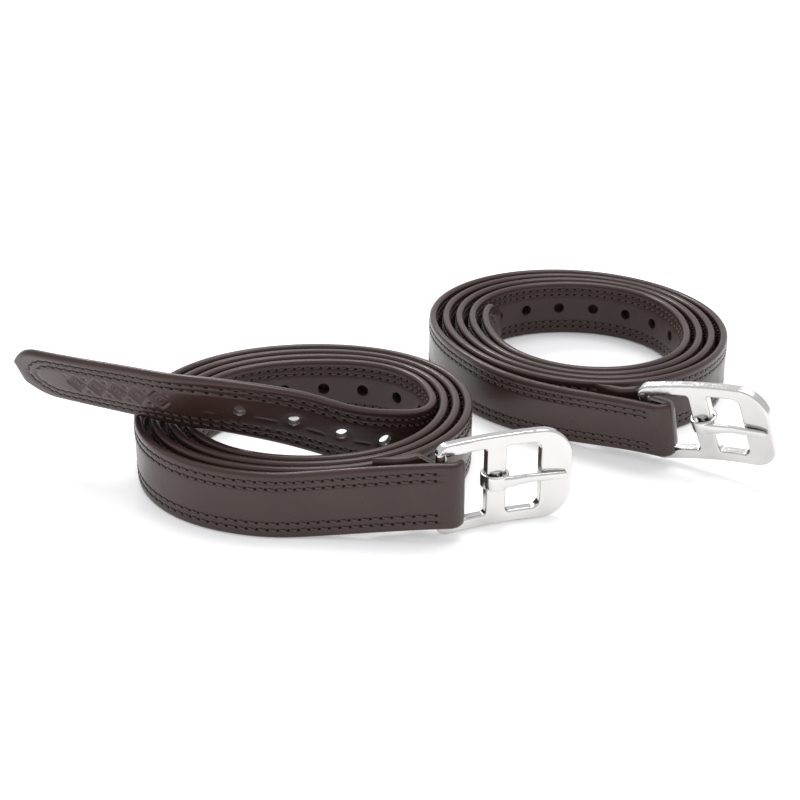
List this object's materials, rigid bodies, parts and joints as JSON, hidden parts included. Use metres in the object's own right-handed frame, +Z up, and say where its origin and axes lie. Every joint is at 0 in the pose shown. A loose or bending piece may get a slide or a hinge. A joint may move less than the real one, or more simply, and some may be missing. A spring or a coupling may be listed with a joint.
{
  "type": "stirrup leathers",
  "caption": "Pair of coiled brown leather stirrup straps with double stitched edges, punched holes and polished steel buckles",
  "frame": {"origin": "on the ground under the middle of the pair's bounding box", "axes": "+X to the right along the pair's front, +Y to the back, +Z up"},
  "size_m": [0.2906, 0.2249, 0.0499],
  "materials": {
    "havana_leather": "satin smooth dark brown",
    "lining_leather": "satin dark brown",
    "nylon_webbing": "woven black nylon",
    "thread": "waxed dark brown thread",
    "polished_steel": "mirror polished"
  },
  "bodies": {
    "front_strap": {"front_cover_leather": "havana_leather", "front_nylon_core": "nylon_webbing", "front_lining_outer_length": "lining_leather", "front_lining_inner_length": "lining_leather", "front_face_stitching_upper": "thread", "front_face_stitching_lower": "thread", "front_back_stitching_upper": "thread", "front_back_stitching_lower": "thread"},
    "rear_strap": {"rear_cover_leather": "havana_leather", "rear_nylon_core": "nylon_webbing", "rear_lining_outer_length": "lining_leather", "rear_lining_inner_length": "lining_leather", "rear_face_stitching_upper": "thread", "rear_face_stitching_lower": "thread", "rear_back_stitching_upper": "thread", "rear_back_stitching_lower": "thread"},
    "front_buckle": {"front_buckle_frame": "polished_steel"},
    "front_tongue": {"front_buckle_tongue": "polished_steel"},
    "rear_buckle": {"rear_buckle_frame": "polished_steel"},
    "rear_tongue": {"rear_buckle_tongue": "polished_steel"}
  },
  "joints": [
    {"name": "rear_strap_lift", "type": "slide", "parent": "front_strap", "child": "rear_strap", "axis": [0, 0, 1], "range_m": [0, 0.15]},
    {"name": "front_buckle_swing", "type": "hinge", "parent": "front_strap", "child": "front_buckle", "pos_m": [0.01641, -0.10643, 0.0179], "axis": [0, 0, 1], "range_deg": [-60, 25]},
    {"name": "front_tongue_pivot", "type": "hinge", "parent": "front_buckle", "child": "front_tongue", "pos_m": [0.03576, -0.09716, 0.0179], "axis": [0, 0, -1], "range_deg": [0, 110]},
    {"name": "rear_buckle_swing", "type": "hinge", "parent": "rear_strap", "child": "rear_buckle", "pos_m": [0.09901, -0.04818, 0.01751], "axis": [-0.3112, -0.1442, 0.9393], "range_deg": [-5, 40]},
    {"name": "rear_tongue_pivot", "type": "hinge", "parent": "rear_buckle", "child": "rear_tongue", "pos_m": [0.11747, -0.0581, 0.0221], "axis": [0.3112, 0.1442, -0.9393], "range_deg": [0, 110]}
  ]
}
